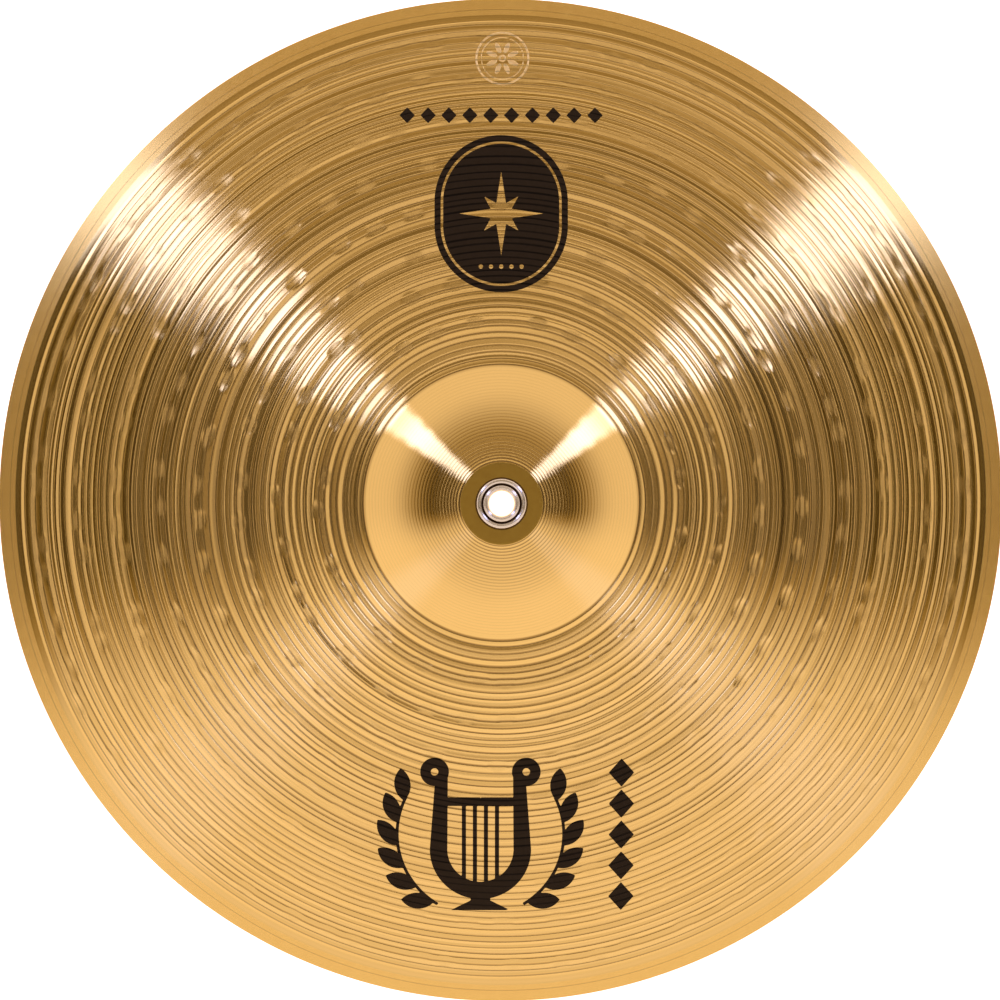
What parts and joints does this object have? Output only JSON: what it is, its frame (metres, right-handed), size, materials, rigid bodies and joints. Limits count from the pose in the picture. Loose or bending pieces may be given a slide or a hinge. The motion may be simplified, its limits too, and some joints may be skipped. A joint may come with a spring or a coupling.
{
  "type": "hand cymbal",
  "caption": "Round brass hand cymbal with a domed bell, a shallow lathed bow, an eyelet in its centre hole and dark printed marks.",
  "frame": {"origin": "on the cymbal's axis, in the plane that its rim rests on", "axes": "+Z along the axis out of the bell, +Y from the large emblem towards the badge"},
  "size_m": [0.4572, 0.4572, 0.0443],
  "materials": {
    "brass": "lathed in fine rings, bright, with faint hammer marks",
    "nickel": "bright nickel plate",
    "ink": "satin black screen-printed ink"
  },
  "bodies": {
    "root": {"cymbal_plate": "brass", "eyelet_barrel": "nickel", "eyelet_washer": "nickel", "badge_print": "ink", "row_print": "ink", "column_print": "ink", "emblem_print": "ink"}
  },
  "joints": []
}
